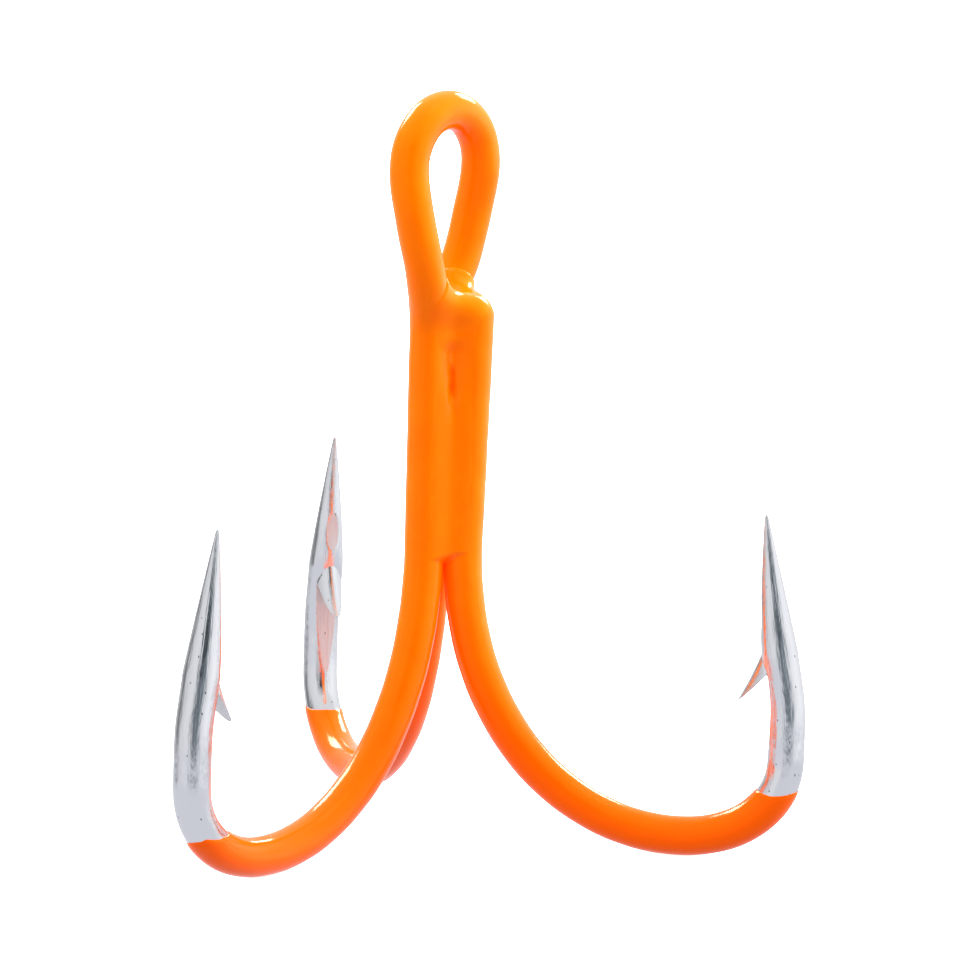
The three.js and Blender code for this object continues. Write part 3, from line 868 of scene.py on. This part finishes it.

# %% [markdown]
# ## Which piece is which
# Each piece rides on the one rigid body and stands for the node it details, whose own mesh is hidden.

# %% Fit the pieces to the frame
FITTING = [
    (double_wire, steel, "hook_steel", ["double_hook_wire"]),
    (single_wire, steel, "hook_steel", ["single_hook_wire"]),
    (front_barb, steel, "hook_steel", ["double_hook_wire"]),
    (rear_barb, steel, "hook_steel", ["double_hook_wire"]),
    (single_barb, steel, "hook_steel", ["single_hook_wire"]),
    (double_paint, wire_paint, "paint", ["orange_paint"]),
    (single_paint, wire_paint, "paint", ["orange_paint"]),
    (shank_fill, fill_paint, "paint", ["orange_paint", "braze_seam"]),
]
for piece, material, slot, nodes in FITTING:
    piece.data.materials.append(material)
    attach(piece, "root")
    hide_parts(*nodes)
print("pieces:", len(FITTING))

# %% [markdown]
# ## Stage
# The hook stands on its three bends on a plain white floor. The floor is kept out of the steel's mirror and
# throws no light up at the hook, because so much white so near would bleach it. The lower half of the
# surroundings does that job gently instead.

# %% Helpers for aiming, and the floor
def pointing(turn, rise):
    """The direction at a bearing and a rise above level, both in radians."""
    return np.array([math.cos(turn) * math.cos(rise), math.sin(turn) * math.cos(rise), math.sin(rise)])


def aimed(side, top, out, where):
    """The matrix that stands a camera or lamp at a place, looking against the direction out."""
    return Matrix([[side[k], top[k], out[k], where[k]] for k in range(3)] + [[0, 0, 0, 1]])


floor_z = cad_box[0][2]
floor_mesh = bpy.data.meshes.new("floor")
floor_mesh.from_pydata(
    [(-4, -4, floor_z), (4, -4, floor_z), (4, 4, floor_z), (-4, 4, floor_z)], [], [(0, 1, 2, 3)]
)
floor = bpy.data.objects.new("floor", floor_mesh)
bpy.context.scene.collection.objects.link(floor)
floor_paint, tree, shader = blank_material("white_floor")
shader.inputs["Base Color"].default_value = (0.85, 0.85, 0.85, 1)
shader.inputs["Roughness"].default_value = 0.8
shader.inputs["Emission Color"].default_value = (1.0, 1.0, 1.0, 1)
shader.inputs["Emission Strength"].default_value = 0.9
floor_mesh.materials.append(floor_paint)
floor.visible_glossy = False
floor.visible_diffuse = False
print("floor at, mm:", round(floor_z / MM, 2))

# %% [markdown]
# ## Camera
# A long lens from a third of a metre away keeps the three hooks nearly the same size. The camera looks
# about nine degrees down at the hook, and is turned on its own axis by less than two degrees.

# %% Camera
VIEW_BEARING = -50.83
VIEW_RISE = math.radians(8.973)
VIEW_DISTANCE = 301.83
VIEW_ROLL = math.radians(1.70)
AIM = np.array([2.15, 1.59, -21.47])

toward = math.radians(VIEW_BEARING)
back = pointing(toward, VIEW_RISE)
right = np.array([-math.sin(toward), math.cos(toward), 0.0])
up = np.cross(back, right)
camera_right = math.cos(VIEW_ROLL) * right + math.sin(VIEW_ROLL) * up
camera_up = math.cos(VIEW_ROLL) * up - math.sin(VIEW_ROLL) * right
camera_data = bpy.data.cameras.new("camera")
camera_data.lens = 184.4
camera_data.sensor_width = 36.0
camera_data.clip_start = 0.01
camera_data.clip_end = 50
camera = bpy.data.objects.new("camera", camera_data)
camera.matrix_world = aimed(camera_right, camera_up, back, (AIM + VIEW_DISTANCE * back) * MM)
bpy.context.scene.collection.objects.link(camera)
bpy.context.scene.camera = camera
print("camera at, mm:", (AIM + VIEW_DISTANCE * back).round(1))

# %% [markdown]
# ## Light
# Shiny metal shows the room more than itself, so the room matters. A bright wall stands on the right, the
# left is white with one dark gap in it, the top is white, and the side just right of the camera is dark,
# which gives the steel its slate stripe and keeps the paint's colour deep. A round dark patch just above
# the camera deepens that stripe. Two lamps behind the hook make the small highlights, and three soft
# panels that the steel does not mirror light the paint.

# %% Light panels and surroundings
PANEL_DISTANCE = 0.9


def panel(name, bearing, rise, width, height, power, mirrored=True):
    """A soft light panel at a bearing from the camera's side and a rise above level, facing the hook. A
    panel that is not mirrored lights the paint but is not seen in polished surfaces."""
    data = bpy.data.lights.new(name, "AREA")
    data.shape = "RECTANGLE"
    data.size, data.size_y = width, height
    data.energy = power
    turn, lift = toward + math.radians(bearing), math.radians(rise)
    out = pointing(turn, lift)
    side = np.array([-math.sin(turn), math.cos(turn), 0.0])
    lamp = bpy.data.objects.new(name, data)
    lamp.matrix_world = aimed(side, np.cross(out, side), out, AIM * MM + PANEL_DISTANCE * out)
    bpy.context.scene.collection.objects.link(lamp)
    lamp.visible_glossy = mirrored


panel("overhead_panel", 75, 66, 0.3, 0.3, 4.5, mirrored=False)
panel("right_fill", 110, 8, 0.6, 0.6, 7, mirrored=False)
panel("left_fill", -108, 8, 0.6, 0.6, 5.5, mirrored=False)
panel("back_right_lamp", 148, 30, 0.36, 0.26, 5)
panel("back_left_lamp", -142, 34, 0.36, 0.3, 5)


def studio_world():
    """Light by direction: a ramp round the horizon measured from the camera's side, faded into white
    overhead and below. What the camera itself sees past the floor is plain white."""
    world = bpy.data.worlds.new("studio")
    world.use_nodes = True
    tree = world.node_tree
    link = tree.links.new
    sky = tree.nodes["Background"]
    direction = tree.nodes.new("ShaderNodeTexCoord").outputs["Generated"]

    def dot(vector):
        made = node(tree, "ShaderNodeVectorMath", operation="DOT_PRODUCT")
        made.inputs[1].default_value = vector
        link(direction, made.inputs[0])
        return made.outputs["Value"]

    turn = node(tree, "ShaderNodeMath", operation="ARCTAN2")
    link(dot(tuple(right)), turn.inputs[0])
    link(dot((math.cos(toward), math.sin(toward), 0)), turn.inputs[1])
    share = node(tree, "ShaderNodeMapRange", From_Min=-math.pi, From_Max=math.pi)
    link(turn.outputs["Value"], share.inputs["Value"])
    ramp = tree.nodes.new("ShaderNodeValToRGB")
    stops = [
        (-180, 0.95), (-150, 0.85), (-130, 0.62), (-115, 0.3), (-104, 0.2), (-94, 0.6), (-84, 0.88),
        (-66, 0.98), (-45, 1.06), (-28, 1.04), (-18, 0.75), (-8, 0.36), (2, 0.24), (16, 0.27), (30, 0.44),
        (40, 0.9), (52, 1.15), (84, 1.35), (108, 1.25), (135, 1.1), (165, 1.0),
    ]
    elements = ramp.color_ramp.elements
    while len(elements) < len(stops):
        elements.new(0.5)
    for element, (degrees, level) in zip(elements, stops):
        element.position = (degrees + 180) / 360
        tint = (0.80, 0.92, 1.0) if -12 < degrees < 35 else (0.98, 0.98, 1.0)
        element.color = tuple(level * c for c in tint) + (1,)
    link(share.outputs["Result"], ramp.inputs["Fac"])
    lift = node(tree, "ShaderNodeMapRange", interpolation_type="SMOOTHSTEP", From_Min=0.45, From_Max=0.75)
    link(dot((0, 0, 1)), lift.inputs["Value"])
    overhead = node(tree, "ShaderNodeMix", data_type="RGBA", B=(1.0, 1.0, 1.0, 1))
    link(lift.outputs["Result"], overhead.inputs["Factor"])
    link(ramp.outputs["Color"], overhead.inputs["A"])
    seen = tree.nodes.new("ShaderNodeLightPath")
    under = node(tree, "ShaderNodeMix", data_type="RGBA", A=(0.89, 0.89, 0.95, 1), B=(0.22, 0.22, 0.22, 1))
    link(seen.outputs["Is Diffuse Ray"], under.inputs["Factor"])
    drop = node(tree, "ShaderNodeMapRange", interpolation_type="SMOOTHSTEP", From_Min=-0.16, From_Max=-0.24)
    link(dot((0, 0, 1)), drop.inputs["Value"])
    underfoot = node(tree, "ShaderNodeMix", data_type="RGBA")
    link(drop.outputs["Result"], underfoot.inputs["Factor"])
    link(overhead.outputs["Result"], underfoot.inputs["A"])
    link(under.outputs["Result"], underfoot.inputs["B"])
    dark_way = pointing(toward + math.radians(7), math.radians(19))
    patch = node(tree, "ShaderNodeMapRange", interpolation_type="SMOOTHSTEP")
    patch.inputs["From Min"].default_value = math.cos(math.radians(17))
    patch.inputs["From Max"].default_value = math.cos(math.radians(7))
    link(dot(tuple(dark_way)), patch.inputs["Value"])
    shaded = node(tree, "ShaderNodeMix", data_type="RGBA", B=(0.05, 0.06, 0.07, 1))
    link(patch.outputs["Result"], shaded.inputs["Factor"])
    link(underfoot.outputs["Result"], shaded.inputs["A"])
    plain = node(tree, "ShaderNodeMix", data_type="RGBA", B=(1.0, 1.0, 1.0, 1))
    link(seen.outputs["Is Camera Ray"], plain.inputs["Factor"])
    link(shaded.outputs["Result"], plain.inputs["A"])
    link(plain.outputs["Result"], sky.inputs["Color"])
    sky.inputs["Strength"].default_value = 1.0
    bpy.context.scene.world = world


studio_world()
bpy.context.scene.view_settings.view_transform = "Standard"
print("lamps:", len(bpy.data.lights))
